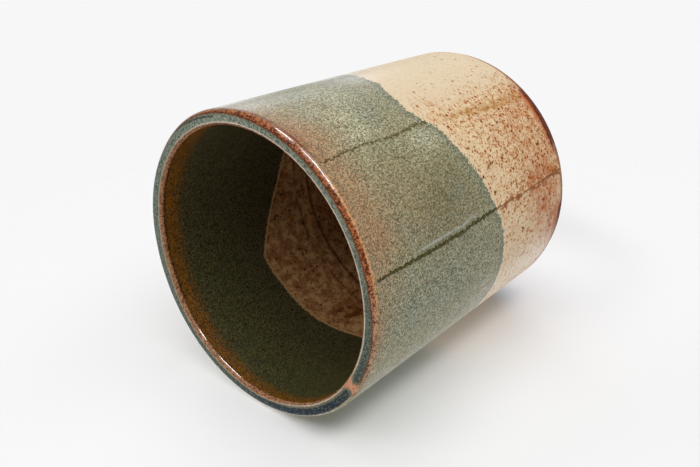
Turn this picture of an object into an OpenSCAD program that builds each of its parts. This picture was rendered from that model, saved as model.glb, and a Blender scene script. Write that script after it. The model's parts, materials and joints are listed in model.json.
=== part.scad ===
// Yunomi tea cup: a tapered stoneware cup, dipped in green glaze over cream.
// Z runs up from the middle of the foot to the mouth. Sizes are millimetres.

/* [Cup] */
// Outside diameter of the glazed wall at the lip
rim_d = 80; // [60:0.5:110]
// Outside diameter of the glazed wall carried down to the table
base_d = 73.5; // [50:0.5:100]
// Height from the table to the top of the lip
cup_h = 88; // [60:1:130]
// Thickness of the clay wall
wall_t = 3.1; // [2:0.1:6]
// Thickness of the clay base
floor_t = 4.6; // [3.5:0.1:10]
// Radius of the outer edge of the lip
lip_out_r = 1.3; // [0.9:0.1:1.6]
// Radius of the inner edge of the lip
lip_in_r = 1; // [0.9:0.1:1.6]
// Radius of the cove where the wall meets the floor inside
cove_r = 4; // [2:0.1:8]

/* [Foot] */
// Radius of the rounded edge at the bottom of the clay
foot_edge_r = 3; // [1:0.1:3]
// Width of the flat ring that the cup stands on
foot_ring_w = 9; // [4:0.5:20]
// Depth of the hollow trimmed inside the foot ring
foot_hollow = 1; // [0.5:0.1:2]
// Height of the clay left bare above the rounded edge
bare_h = 0.6; // [0.2:0.1:6]

/* [Glaze] */
// Thickness of each coat of glaze
glaze_t = 0.4; // [0.2:0.05:0.7]
// Depth of the glaze pooled on the floor
pool_t = 0.9; // [0.8:0.1:1.8]
// Slope on the lip's edges where the lip glaze meets the wall glaze
lip_join = 40; // [20:1:60]

/* [First dip outside] */
// Depth below the lip of the green glaze at the middle of the dip
dip_1_depth = 34.5; // [25:0.5:40]
// Tilt of the cup in the dip
dip_1_tilt = 27; // [0:1:30]
// Side of the cup that went deepest
dip_1_turn = -95; // [-180:1:180]

/* [Second dip outside] */
// Depth below the lip of the green glaze at the middle of the dip
dip_2_depth = 41.8; // [25:0.1:48]
// Tilt of the cup in the dip
dip_2_tilt = 13; // [0:1:20]
// Side of the cup that went deepest
dip_2_turn = 100; // [-180:1:180]

/* [First dip inside] */
// Depth below the lip of the green glaze at the middle of the dip
dip_3_depth = 24.3; // [15:0.1:40]
// Tilt of the cup in the dip
dip_3_tilt = 31; // [0:1:35]
// Side of the cup that went deepest
dip_3_turn = 60; // [-180:1:180]

/* [Second dip inside] */
// Depth below the lip of the green glaze at the middle of the dip
dip_4_depth = 31.2; // [15:0.1:48]
// Tilt of the cup in the dip
dip_4_tilt = 7; // [0:1:20]
// Side of the cup that went deepest
dip_4_turn = -130; // [-180:1:180]

/* [Seam lines] */
// Width of a raised seam line
seam_w = 1.2; // [0.6:0.1:3]
// Height of a seam line above the glaze
seam_h = 0.25; // [0.1:0.05:0.6]
// Length of bare wall between a seam line and the lip
seam_gap = 1.5; // [0.5:0.1:6]
// Side of the cup where the first seam line runs
seam_1_turn = -24; // [-180:1:180]
// Side of the cup where the second seam line runs
seam_2_turn = -65.4; // [-180:0.1:180]

/* [Hidden] */
$fn = 96;
ARC_STEPS = 8;

CLAY = "#7a5a48";
GREEN = "#77796a";
CREAM = "#d8c2a2";
LIP_BLUE = "#4a5a5c";
DARK_GREEN = "#4d4c38";
RUST = "#8a5a34";

// The wall leans out by lean degrees from the table to the lip.
lean = atan((rim_d - base_d) / 2 / cup_h);
// Depths measured in from the glazed outside of the wall
clay_out = glaze_t;
clay_in = glaze_t + wall_t;
glazed_in = wall_t + 2 * glaze_t;
// A rounded foot stops short of the joint between the base and the wall.
foot_r = min(foot_edge_r, floor_t * 0.8);
// Lowest edge of the glaze outside
glaze_low = foot_r * (1 - sin(lean)) + bare_h;
cut_side = 4 * (rim_d + cup_h);

// Distance from the axis of the line that lies depth inside the outer face, at height z
function wall_r(depth, z) = base_d / 2 + z * tan(lean) - depth / cos(lean);
// Points of an arc about a centre, from angle a to angle b
function arc(centre, r, a, b) =
    [for (i = [0 : ARC_STEPS]) let (t = a + (b - a) * i / ARC_STEPS) centre + r * [cos(t), sin(t)]];
function reversed(points) = [for (i = [len(points) - 1 : -1 : 0]) points[i]];

// Centres of the rounded edges
lip_out_c = [wall_r(lip_out_r, cup_h - lip_out_r), cup_h - lip_out_r];
lip_in_c = [wall_r(glazed_in - lip_in_r, cup_h - lip_in_r), cup_h - lip_in_r];
cove_c = [wall_r(clay_in + cove_r, floor_t + cove_r), floor_t + cove_r];
foot_c = [wall_r(clay_out + foot_r, foot_r), foot_r];
// Angle on the cove where the level pool of glaze ends
pool_end = -asin((cove_r - pool_t) / (cove_r - glaze_t));

// Rounded edge of the lip, sunk below the glaze, on the outside and on the inside
function lip_out_arc(sunk, a, b) = arc(lip_out_c, lip_out_r - sunk, a, b);
function lip_in_arc(sunk, a, b) = arc(lip_in_c, lip_in_r - sunk, a, b);
// The cove, standing off the clay, up to the edge of the pool and above it
function cove_low_arc(off) = arc(cove_c, cove_r - off, -90, pool_end);
function cove_high_arc(off) = arc(cove_c, cove_r - off, pool_end, -lean);

module spin(points) { rotate_extrude() polygon(points); }

// Everything above the level that the glaze reached in one dip
module dipped(depth, tilt, turn) {
    translate([0, 0, cup_h - depth]) rotate([0, tilt, turn])
        translate([-cut_side / 2, -cut_side / 2, 0]) cube(cut_side);
}

module outside_dips() {
    dipped(dip_1_depth, dip_1_tilt, dip_1_turn);
    dipped(dip_2_depth, dip_2_tilt, dip_2_turn);
}

module inside_dips() {
    dipped(dip_3_depth, dip_3_tilt, dip_3_turn);
    dipped(dip_4_depth, dip_4_tilt, dip_4_turn);
}

// Glaze on the outside of the wall, from the bare foot to the edge of the lip
module outside_coat() {
    low = [wall_r(clay_out, glaze_low), glaze_low];
    spin(concat(
        [low],
        lip_out_arc(glaze_t, -lean, lip_join),
        reversed(lip_out_arc(0, -lean, lip_join)),
        [low + glaze_t * [cos(lean), -sin(lean)]]));
}

// Glaze on the inside of the wall, from the edge of the lip to the floor
module inside_coat() {
    spin(concat(
        lip_in_arc(0, 180 - lip_join, 180 - lean),
        reversed(cove_high_arc(glaze_t)),
        reversed(cove_low_arc(glaze_t)),
        cove_low_arc(0),
        cove_high_arc(0),
        reversed(lip_in_arc(glaze_t, 180 - lip_join, 180 - lean))));
}

// One seam line: a thin strip that stands on the outside glaze
module seam_ridge(turn) {
    turn_w = seam_w / (PI * (rim_d + base_d) / 2) * 360;
    top_z = cup_h - lip_out_r - seam_gap;
    rotate([0, 0, turn - turn_w / 2]) rotate_extrude(angle = turn_w) polygon([
        [wall_r(0, glaze_low), glaze_low],
        [wall_r(-seam_h, glaze_low), glaze_low],
        [wall_r(-seam_h, top_z), top_z],
        [wall_r(0, top_z), top_z]]);
}

module clay_wall() {
    color(CLAY) spin(concat(
        [[wall_r(clay_out, floor_t), floor_t]],
        lip_out_arc(glaze_t, -lean, 90),
        lip_in_arc(glaze_t, 90, 180 - lean),
        reversed(cove_high_arc(0)),
        reversed(cove_low_arc(0))));
}

module clay_base() {
    ring_in = foot_c[0] - foot_ring_w;
    color(CLAY) spin(concat(
        [[0, foot_hollow], [ring_in - foot_hollow, foot_hollow], [ring_in, 0]],
        arc(foot_c, foot_r, -90, -lean),
        [[wall_r(clay_out, floor_t), floor_t], [0, floor_t]]));
}

module outer_green_glaze() {
    color(GREEN) intersection() {
        outside_coat();
        union() outside_dips();
    }
}

module outer_cream_glaze() {
    color(CREAM) difference() {
        outside_coat();
        outside_dips();
    }
}

module lip_glaze() {
    color(LIP_BLUE) spin(concat(
        lip_out_arc(0, lip_join, 90),
        lip_in_arc(0, 90, 180 - lip_join),
        reversed(lip_in_arc(glaze_t, 90, 180 - lip_join)),
        reversed(lip_out_arc(glaze_t, lip_join, 90))));
}

module inner_green_glaze() {
    color(DARK_GREEN) intersection() {
        inside_coat();
        union() inside_dips();
    }
}

module inner_cream_glaze() {
    color(CREAM) difference() {
        inside_coat();
        inside_dips();
    }
}

module floor_glaze() {
    pool_z = floor_t + pool_t;
    color(CREAM) spin(concat(
        [[0, floor_t], [cove_c[0], floor_t]],
        cove_low_arc(glaze_t),
        [[0, pool_z]]));
}

module seam_ridges() {
    color(RUST) {
        seam_ridge(seam_1_turn);
        seam_ridge(seam_2_turn);
    }
}

clay_wall();
clay_base();
outer_green_glaze();
outer_cream_glaze();
lip_glaze();
inner_green_glaze();
inner_cream_glaze();
floor_glaze();
seam_ridges();
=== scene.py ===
# %% [markdown]
# # A yunomi tea cup in two glazes
# The cup is one piece of stoneware, dipped in cream glaze and then in green, inside and outside.
# Its solids are already exact and plain. This lesson gives each of them a skin with the hand of the
# potter in it, and a glaze that breaks, speckles and pools as fired glaze does.

# %% Load the solids
import json

import bpy
import numpy as np
from mathutils import Matrix, Vector

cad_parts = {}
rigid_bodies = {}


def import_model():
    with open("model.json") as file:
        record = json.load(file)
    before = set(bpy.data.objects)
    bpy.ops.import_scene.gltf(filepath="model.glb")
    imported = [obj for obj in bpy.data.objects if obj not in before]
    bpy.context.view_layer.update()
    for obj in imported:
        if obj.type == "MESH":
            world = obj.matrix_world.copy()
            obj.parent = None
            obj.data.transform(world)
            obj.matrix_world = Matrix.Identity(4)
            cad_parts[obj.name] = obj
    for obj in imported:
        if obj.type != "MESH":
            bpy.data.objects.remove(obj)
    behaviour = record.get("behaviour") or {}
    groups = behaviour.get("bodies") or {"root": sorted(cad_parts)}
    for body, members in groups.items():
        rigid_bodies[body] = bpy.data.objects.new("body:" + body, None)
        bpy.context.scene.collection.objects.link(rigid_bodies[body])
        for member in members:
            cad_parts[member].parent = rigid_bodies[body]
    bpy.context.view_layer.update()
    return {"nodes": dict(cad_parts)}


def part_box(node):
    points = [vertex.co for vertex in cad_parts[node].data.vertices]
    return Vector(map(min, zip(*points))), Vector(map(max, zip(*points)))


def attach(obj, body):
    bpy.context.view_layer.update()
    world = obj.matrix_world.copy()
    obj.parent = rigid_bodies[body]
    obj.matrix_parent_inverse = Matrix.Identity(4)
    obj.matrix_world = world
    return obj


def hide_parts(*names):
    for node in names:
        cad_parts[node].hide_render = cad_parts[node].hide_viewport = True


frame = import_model()
print("solids:", ", ".join(sorted(frame["nodes"])))

# %% [markdown]
# ## The sizes that everything follows
# The cup is a cone that leans out a little, with a rounded lip, a cove inside and a rounded foot.
# Heights come from the solids themselves. The rest are the radii and thicknesses of the same cup, so a
# skin that is worked out from them lies exactly on its solid.

# %% Sizes
MM = 0.001
CUP_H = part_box("lip_glaze")[1].z
FLOOR_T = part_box("clay_base")[1].z
POOL_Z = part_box("floor_glaze")[1].z
GLAZE_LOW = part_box("outer_cream_glaze")[0].z
RIM_R = 40 * MM
BASE_R = 36.75 * MM
WALL_T = 3.1 * MM
GLAZE_T = 0.4 * MM
LIP_OUT_R = 1.3 * MM
LIP_IN_R = 1 * MM
LIP_JOIN = np.radians(40)
COVE_R = 4 * MM
FOOT_R = 3 * MM
FOOT_RING_W = 9 * MM
FOOT_HOLLOW = 1 * MM
LEAN = np.arctan((RIM_R - BASE_R) / CUP_H)
GLAZED_IN = WALL_T + 2 * GLAZE_T


def wall_r(depth, z):
    """Distance from the axis of the line that lies depth inside the glazed outer face, at height z."""
    return BASE_R + z * np.tan(LEAN) - depth / np.cos(LEAN)


print(f"cup {CUP_H / MM:.1f} mm tall, wall leans {np.degrees(LEAN):.2f} degrees")

# %% [markdown]
# ## The camera
# In the picture the cup lies on its side, while its solids stand upright. The solids could be laid down, but
# then the dressed cup would leave their frame. So the camera is the one that tips over: its upward direction
# points along the table's normal, which is nearly a level direction of the cup.

# %% Camera
PHOTO_W = 700
FOCAL_PX = 900
CAMERA_AT = Vector((127.71, -127.71, 216.21)) * MM
CAMERA_AIM = Vector((-1.98, -2.04, 53.49)) * MM
TABLE_UP_AZ = 99.57


def side(az):
    """Level unit vector at azimuth az in degrees: x is its sine, and y is minus its cosine."""
    turn = np.radians(az)
    return Vector((np.sin(turn), -np.cos(turn), 0))


lens = bpy.data.cameras.new("camera")
lens.sensor_width = 36
lens.lens = lens.sensor_width * FOCAL_PX / PHOTO_W
lens.clip_start = 0.01
lens.clip_end = 20
camera = bpy.data.objects.new("camera", lens)
bpy.context.scene.collection.objects.link(camera)
ahead = (CAMERA_AIM - CAMERA_AT).normalized()
right = ahead.cross(side(TABLE_UP_AZ)).normalized()
camera.matrix_world = Matrix.LocRotScale(
    CAMERA_AT, Matrix((right, right.cross(ahead), -ahead)).transposed().to_quaternion(), None)
bpy.context.scene.camera = camera
print(f"lens {lens.lens:.1f} mm, {(CAMERA_AIM - CAMERA_AT).length / MM:.0f} mm from the cup")

# %% [markdown]
# ## How a mesh is made
# Every skin is a grid: one row for each step along its profile and one column for each step round the
# cup. Columns close on themselves, and so do rows, because a coat of glaze has a front and a back.
# Numpy works out all the points at once, and the faces follow from their row and column numbers.

# %% Grids
COLUMNS = 720
FINE_COLUMNS = 7201
SEAM_SIDES = (66, 24.6)
SEAM_CROWD = 4
SEAM_REACH = 3
FLAT_SIDE = 196
FLAT_WIDE = 38
FLAT_DEPTH = 0.75 * MM
PINCH_SIDE = 156
PINCH_WIDE = 20
PINCH_DEPTH = 0.45 * MM
FLAT_GROWTH = 2
PINCH_GROWTH = 12


def spread_columns(count):
    """Azimuths of the columns, in degrees: even, but closer by SEAM_CROWD within SEAM_REACH of a seam.
    The crowding is a bell curve at each seam, and equal steps of its running sum give the columns."""
    fine = np.linspace(0, 360, FINE_COLUMNS)
    crowd = 1 + (SEAM_CROWD - 1) * sum(np.exp(-((fine - s) / SEAM_REACH) ** 2) for s in SEAM_SIDES)
    total = np.concatenate([[0], np.cumsum((crowd[1:] + crowd[:-1]) / 2)])
    return np.interp(np.linspace(0, total[-1], count, endpoint=False), total, fine)


AZ = spread_columns(COLUMNS)


def place(az, r, z):
    """Points at azimuth az, radius r and height z, after the wobble of the wheel: x is r times the sine of
    az, and y is minus r times its cosine."""
    turn = np.radians(az)
    r = r + wobble(az, r, z)
    return np.stack(np.broadcast_arrays(r * np.sin(turn), -r * np.cos(turn), z), axis=-1)


def turn_from(az, middle):
    """Degrees from a middle azimuth, between -180 and 180."""
    return (az - middle + 180) % 360 - 180


def wobble(az, r, z):
    """How far the wall is out of round: a flat side, which is a bell curve round the cup that grows towards
    the lip, and a pinch of the lip's outer edge, a narrower bell that fades to nothing at the inner face."""
    flat = FLAT_DEPTH * np.exp(-(turn_from(az, FLAT_SIDE) / FLAT_WIDE) ** 2) * (z / CUP_H) ** FLAT_GROWTH
    outer = np.clip(1 - (wall_r(0, z) - r) / GLAZED_IN, 0, 1)
    pinch = PINCH_DEPTH * np.exp(-(turn_from(az, PINCH_SIDE) / PINCH_WIDE) ** 2) * outer
    return -flat - pinch * (z / CUP_H) ** PINCH_GROWTH


def mesh_piece(name, points, faces):
    """A smooth shaded mesh object at the origin, from its points and faces."""
    mesh = bpy.data.meshes.new(name)
    mesh.from_pydata(points.tolist(), [], faces)
    mesh.shade_smooth()
    piece = bpy.data.objects.new(name, mesh)
    bpy.context.scene.collection.objects.link(piece)
    return piece


def grid_faces(rows, columns, closed_rows):
    """Four corners for each cell: this column and the next, in this row and the next, wrapped round."""
    row = np.arange(rows if closed_rows else rows - 1)[:, None]
    column = np.arange(columns)[None, :]
    here, after = row * columns, (row + 1) % rows * columns
    nearby = (column + 1) % columns
    corners = np.broadcast_arrays(here + column, here + nearby, after + nearby, after + column)
    return np.stack(corners, axis=-1).reshape(-1, 4).tolist()


def ring_piece(name, grid):
    """A closed ring: a grid whose columns and rows both wrap round."""
    rows, columns = grid.shape[:2]
    return mesh_piece(name, grid.reshape(-1, 3), grid_faces(rows, columns, True))


def disc_piece(name, grid):
    """A closed disc: its columns wrap round, and its first and last rows are each closed by one point."""
    rows, columns = grid.shape[:2]
    poles = np.stack([grid[0].mean(axis=0), grid[-1].mean(axis=0)])
    low_pole, high_pole = rows * columns, rows * columns + 1
    column = np.arange(columns)
    nearby = (column + 1) % columns
    last = (rows - 1) * columns
    low_fan = np.stack([nearby, column, np.full(columns, low_pole)], axis=-1).tolist()
    high_fan = np.stack([last + column, last + nearby, np.full(columns, high_pole)], axis=-1).tolist()
    points = np.concatenate([grid.reshape(-1, 3), poles])
    return mesh_piece(name, points, grid_faces(rows, columns, False) + low_fan + high_fan)


def mark(piece, name, values):
    """Writes one number for each point of a piece, for its material to read under that name."""
    spot = piece.data.attributes.new(name, "FLOAT", "POINT")
    spot.data.foreach_set("value", np.asarray(values, np.float32).ravel())


print(f"{COLUMNS} columns, {np.diff(AZ).min():.2f} to {np.diff(AZ).max():.2f} degrees apart")

# %% [markdown]
# ## The profiles
# A profile turns one number, the run, into a place on the wall. On the straight wall the run is simply
# the height. Over a rounded edge it goes on as arc length. Each profile also gives the direction that its
# surface faces, so that relief can stand straight out of it.

# %% Profiles
LIP_OUT_RUN = CUP_H - LIP_OUT_R * (1 + np.sin(LEAN))
LIP_IN_RUN = CUP_H - LIP_IN_R * (1 - np.sin(LEAN))
COVE_SKIN_R = COVE_R - GLAZE_T
COVE_RUN = FLOOR_T + COVE_R - COVE_SKIN_R * np.sin(LEAN)
LIP_FLAT_IN = wall_r(GLAZED_IN - LIP_IN_R, CUP_H - LIP_IN_R)
LIP_FLAT_OUT = wall_r(LIP_OUT_R, CUP_H - LIP_OUT_R)
OUT_EDGE_RUN = LIP_OUT_RUN + LIP_OUT_R * (LIP_JOIN + LEAN)
IN_EDGE_RUN = LIP_IN_RUN + LIP_IN_R * (LIP_JOIN - LEAN)
POOL_RUN = COVE_RUN - COVE_SKIN_R * (np.arcsin((FLOOR_T + COVE_R - POOL_Z) / COVE_SKIN_R) - LEAN)


def outside(run):
    """The outer face: a straight leaning wall up to LIP_OUT_RUN, then an arc of radius LIP_OUT_R."""
    wall = np.minimum(run, LIP_OUT_RUN)
    faces = np.maximum(run - LIP_OUT_RUN, 0) / LIP_OUT_R - LEAN
    r = wall_r(0, wall) + LIP_OUT_R * (np.cos(faces) - np.cos(LEAN))
    z = wall + LIP_OUT_R * (np.sin(faces) + np.sin(LEAN))
    return r, z, faces


def inside(run):
    """The inner face: an arc of the cove below COVE_RUN, a straight wall, and an arc above LIP_IN_RUN."""
    wall = np.clip(run, COVE_RUN, LIP_IN_RUN)
    over_lip = np.pi - LEAN - np.maximum(run - LIP_IN_RUN, 0) / LIP_IN_R
    in_cove = np.pi - LEAN - np.maximum(COVE_RUN - run, 0) / COVE_SKIN_R
    level, upright = np.cos(np.pi - LEAN), np.sin(np.pi - LEAN)
    r = wall_r(GLAZED_IN, wall)
    r = r + LIP_IN_R * (np.cos(over_lip) - level) - COVE_SKIN_R * (np.cos(in_cove) - level)
    z = wall + LIP_IN_R * (np.sin(over_lip) - upright) - COVE_SKIN_R * (np.sin(in_cove) - upright)
    return r, z, over_lip + in_cove - np.pi + LEAN


def over_lip(run):
    """The top of the lip: the outer arc, a flat, and the inner arc. Run is 0 at the middle of the flat."""
    half_flat = (LIP_FLAT_OUT - LIP_FLAT_IN) / 2
    outward = np.maximum(-run - half_flat, 0) / LIP_OUT_R
    inward = np.maximum(run - half_flat, 0) / LIP_IN_R
    r = (LIP_FLAT_OUT + LIP_FLAT_IN) / 2 - np.clip(run, -half_flat, half_flat)
    r = r + LIP_OUT_R * np.sin(outward) - LIP_IN_R * np.sin(inward)
    z = CUP_H - LIP_OUT_R * (1 - np.cos(outward)) - LIP_IN_R * (1 - np.cos(inward))
    return r, z, np.pi / 2 - outward + inward


print(f"outer face ends at run {OUT_EDGE_RUN / MM:.2f} mm, inner face from {POOL_RUN / MM:.2f} mm")

# %% [markdown]
# ## The dip lines
# A cup held in tongs and lowered into glaze at a slant comes out with a line that is a tilted plane across
# the wall. Two dips from different sides leave two such planes, and their line turns a corner where they
# cross. The real line also steps where it crosses a seam, and it wavers, so small offsets are added.

# %% Dip lines
OUTSIDE_DIPS = ((34.5, 27, -5), (41.8, 13, 190))
INSIDE_DIPS = ((24.3, 31, 150), (31.2, 7, 320))
OUTSIDE_STEPS = ((0, 0), (21, 0.1), (24, 0.8), (28, 1.2), (46, 1), (58, 0.1), (64, -0.5), (67, 0.5),
                 (73, 0), (77, -0.2), (81, 0.2), (86, 0.3), (90, -0.6), (93, -1.1), (100, -0.9),
                 (110, -1), (150, 0), (360, 0))
INSIDE_STEPS = ((0, 0), (173, -0.2), (188, -1.2), (204, -0.6), (217, 0), (240, 0.3), (260, 0.8),
                (272, 0.4), (281, -0.4), (300, 0), (360, 0))
LINE_SHAKE = 0.14
OUTSIDE_SEED = 3
INSIDE_SEED = 4


def waver(angle, low, high, seed):
    """A closed waver, about -1 to 1: the sum of cosines of the whole-number waves from low to high, each
    with a seeded phase and a seeded share that falls with the root of its number."""
    rng = np.random.default_rng(seed)
    waves = np.arange(low, high)
    phase = rng.uniform(0, 2 * np.pi, len(waves))
    share = rng.uniform(0.5, 1, len(waves)) / np.sqrt(waves)
    total = np.cos(np.multiply.outer(np.radians(angle), waves) + phase) @ share
    return total / np.sqrt((share ** 2).sum()) / 2


def dip_line(az, dips, steps, r, seed):
    """Height of the line at azimuth az: the lower of the tilted planes, plus the steps and a fine waver.
    A plane lies its depth below the lip, less r times the tilt's tangent times the cosine of the turn."""
    planes = [CUP_H - depth * MM - r * np.tan(np.radians(tilt)) * np.cos(np.radians(az - turn))
              for depth, tilt, turn in dips]
    step = np.interp(az % 360, *np.transpose(steps))
    return np.minimum(*planes) + (step + LINE_SHAKE * waver(az, 20, 160, seed)) * MM


outer_line = dip_line(AZ, OUTSIDE_DIPS, OUTSIDE_STEPS, wall_r(0, CUP_H / 2), OUTSIDE_SEED)
inner_line = dip_line(AZ, INSIDE_DIPS, INSIDE_STEPS, wall_r(GLAZED_IN, CUP_H / 2), INSIDE_SEED)
print(f"outer line from {outer_line.min() / MM:.1f} to {outer_line.max() / MM:.1f} mm")

# %% [markdown]
# ## The seam lines
# Two raised lines climb the wall where the clay was joined. The glaze runs off a raised line, so it shows
# dark in the green and rusty in the cream. Each line is a path of a few points, with a waver of its own.

# %% Seam lines
SEAM_PATHS = (((0, 62.8), (25, 63.2), (40, 65), (50, 66.8), (60, 65.6), (72, 66.6), (88, 65.4)),
              ((0, 26.6), (20, 25.3), (37, 25.2), (58, 23.9), (88, 24.4)))
SEAM_DRIFT = 0.35
SEAM_SHAKE = (0.6, 0.3)
SEAM_RISES = ((0.10, 0.7, 0.0, 0.7), (0.20, 0.4, 0.2, 0.9))


def up_wall(run):
    """Half a turn from foot to lip, so that a closed waver can also run up the wall."""
    return run / CUP_H * 180


def seam_az(which, run):
    """Azimuth of a seam line at a height: straight between its points, plus a waver along the height."""
    heights, sides = np.transpose(SEAM_PATHS[which])
    drift = SEAM_DRIFT * waver(up_wall(run), 4, 30, 10 + which)
    shake = SEAM_SHAKE[which] * waver(up_wall(run), 60, 130, which)
    return np.interp(run / MM, heights, sides) + drift + shake


def seam_gap(which, az, run):
    """Distance in millimetres round the wall from a seam line, positive towards greater azimuth."""
    return np.radians(turn_from(az, seam_az(which, run))) * wall_r(0, run) / MM


def seam_lift(az, run):
    """Relief of the seam lines: a bell curve across each line, times a rise that comes and goes along it.
    SEAM_RISES holds for each line the rise, the part of it that comes and goes, and the bell's offset and
    half width, with the lengths in millimetres."""
    lifts = [rise * (1 + change * waver(up_wall(run), 5, 40, 21 + which))
             * np.exp(-((seam_gap(which, az, run) - offset) / half_w) ** 2)
             for which, (rise, change, offset, half_w) in enumerate(SEAM_RISES)]
    return sum(lifts) * MM


print("seam lines at", ", ".join(f"{seam_az(i, CUP_H / 2):.1f}" for i in range(2)), "degrees")

# %% [markdown]
# ## Coats of glaze
# A coat is a thin closed skin. Its front follows a profile with some relief, and rolls over at both edges
# like a bead of thick liquid. Its back lies just below the face of the clay, with fewer rows because
# nobody sees it. The same function makes the coats outside, inside and over the lip.

# %% Coats
ROWS = 113
BACK_STEP = 8
EDGE_W = 0.6 * MM
EDGE_DROP = GLAZE_T + 0.06 * MM
BACK_DEPTH = GLAZE_T + 0.1 * MM
TUCK = 0.8 * MM
LIP_TUCK = 0.7 * MM
FRINGE = 1.3 * MM
WORN_W = 0.3 * MM
WORN_OUT_RUN = LIP_OUT_RUN + LIP_OUT_R * (np.radians(28) + LEAN)
WORN_IN_RUN = LIP_IN_RUN + LIP_IN_R * (np.radians(23) - LEAN)
RIB_LIFT = 0.012
RIB_PITCH = 2.6 * MM
HAND_LIFT = 0.05
GREEN_LIFT = 0.04
GREEN_EDGE = 0.02
GREEN_EDGE_W = 1.5


def coat(name, profile, low, high, relief, rows=ROWS, drop=EDGE_DROP):
    """A coat between two runs, which may differ from column to column.
    Its rows are spaced between evenly and as a cosine, so that they lie closer at the edges. The front's
    lift is the relief, less a quarter circle that falls by drop within EDGE_W of an edge."""
    even = np.linspace(0, 1, rows)[:, None]
    share = 0.35 * even + 0.325 * (1 - np.cos(np.pi * even))
    run = low + (high - low) * share + 0 * AZ
    shoulder = np.clip(np.minimum(run - low, high - run) / EDGE_W, 0, 1)
    lift = relief(AZ, run) - drop * (1 - np.sqrt(shoulder * (2 - shoulder)))
    back = run[::-BACK_STEP]
    run = np.concatenate([run, back])
    lift = np.concatenate([lift, np.full(back.shape, -BACK_DEPTH)])
    r, z, faces = profile(run)
    grid = place(AZ, r + lift * np.cos(faces), z + lift * np.sin(faces))
    return ring_piece(name, grid), run


def worn_edge(run, middle, radius):
    """A flat stroke along a rounded edge, as a thumb leaves it: the height of the edge's tangent above its
    arc, which is the distance squared over twice the radius, faded out beyond WORN_W."""
    away = run - middle
    return away ** 2 / (2 * radius) * np.exp(-(away / WORN_W) ** 6)


def outer_relief(az, run):
    """Relief of the outer wall: faint throwing rings, broad unevenness from the hand, and the seams."""
    rings = RIB_LIFT * np.cos(2 * np.pi * run / RIB_PITCH + 1.5 * waver(az, 1, 5, 31))
    broad = HAND_LIFT * waver(az + 90 * run / CUP_H, 3, 14, 32) * waver(up_wall(run), 1, 6, 33)
    return (rings + broad) * MM + seam_lift(az, run)


def green_relief(az, run):
    """The green lies over the cream, so it stands a little higher, most of all at its own lower edge."""
    above = (run - outer_line) / MM
    edge = (GREEN_LIFT + GREEN_EDGE * np.exp(-(above / GREEN_EDGE_W) ** 2)) * MM
    return outer_relief(az, run) + edge + worn_edge(run, WORN_OUT_RUN, LIP_OUT_R)


outer_green, green_run = coat(
    "outer_green_glaze", outside, outer_line - FRINGE, OUT_EDGE_RUN + LIP_TUCK, green_relief)
outer_cream, cream_run = coat("outer_cream_glaze", outside, GLAZE_LOW, outer_line + TUCK, outer_relief)
for piece, run in ((outer_green, green_run), (outer_cream, cream_run)):
    mark(piece, "line_gap", (run - outer_line) / MM)
    mark(piece, "lip_gap", (OUT_EDGE_RUN - run) / MM)
    mark(piece, "foot_gap", (run - GLAZE_LOW) / MM)
    mark(piece, "seam_1", seam_gap(0, AZ, run))
    mark(piece, "seam_2", seam_gap(1, AZ, run))
print(f"outer coats: {len(outer_green.data.polygons)} and {len(outer_cream.data.polygons)} faces")

# %% [markdown]
# ## Inside
# The same two glazes coat the inside, with lines of their own. Throwing leaves stronger rings inside than
# outside, because the outside is smoothed with a rib. One deep ring shows in the cream as a dark line.

# %% Inside coats
RING_Z = 34
RING_SLANT = 1.2
RING_LOW_AZ = 255
FAINT_RING = 5.4
RING_LIFT = 0.014
RING_PITCH = 4.1 * MM
GROOVE = (0.16, 0.5)
FAINT_GROOVE = (0.05, 0.6)
FINGER_LIFT = 0.06
INNER_EDGE = 0.03


def ring_gap(az, run):
    """Distance in millimetres above the deep throwing ring, which slants a little round the cup."""
    return run / MM - RING_Z + RING_SLANT * np.cos(np.radians(az - RING_LOW_AZ))


def inner_relief(az, run):
    """Relief of the inner wall: throwing rings, broad unevenness, and two rings as grooves, which are bell
    curves with a depth and a half width in millimetres."""
    gap = ring_gap(az, run)
    rings = RING_LIFT * np.cos(2 * np.pi * run / RING_PITCH + np.radians(az) + 2 * waver(az, 1, 5, 41))
    grooves = sum(depth * np.exp(-((gap - middle) / half_w) ** 2)
                  for middle, (depth, half_w) in ((0, GROOVE), (FAINT_RING, FAINT_GROOVE)))
    broad = FINGER_LIFT * waver(az + 60 * run / CUP_H, 3, 12, 42)
    return (rings + broad - grooves) * MM


def inner_green_relief(az, run):
    """The green stands above the cream inside as well."""
    above = (run - inner_line) / MM
    edge = (GREEN_LIFT + INNER_EDGE * np.exp(-(above / GREEN_EDGE_W) ** 2)) * MM
    return inner_relief(az, run) + edge + worn_edge(run, WORN_IN_RUN, LIP_IN_R)


inner_green, dark_run = coat(
    "inner_green_glaze", inside, inner_line - FRINGE, IN_EDGE_RUN + LIP_TUCK, inner_green_relief)
inner_cream, tan_run = coat(
    "inner_cream_glaze", inside, POOL_RUN - TUCK / 2, inner_line + TUCK, inner_relief)
for piece, run in ((inner_green, dark_run), (inner_cream, tan_run)):
    mark(piece, "line_gap", (run - inner_line) / MM)
    mark(piece, "lip_gap", (IN_EDGE_RUN - run) / MM)
    mark(piece, "ring_gap", ring_gap(AZ, run))
print(f"inner coats: {len(inner_green.data.polygons)} and {len(inner_cream.data.polygons)} faces")

# %% [markdown]
# ## The lip and the floor
# Glaze slides off an edge and gathers beside it. On this cup a bead of it stayed on top of the lip. The
# floor holds a level pool of cream, with a low spiral under it from the last pass of the fingers.

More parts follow.
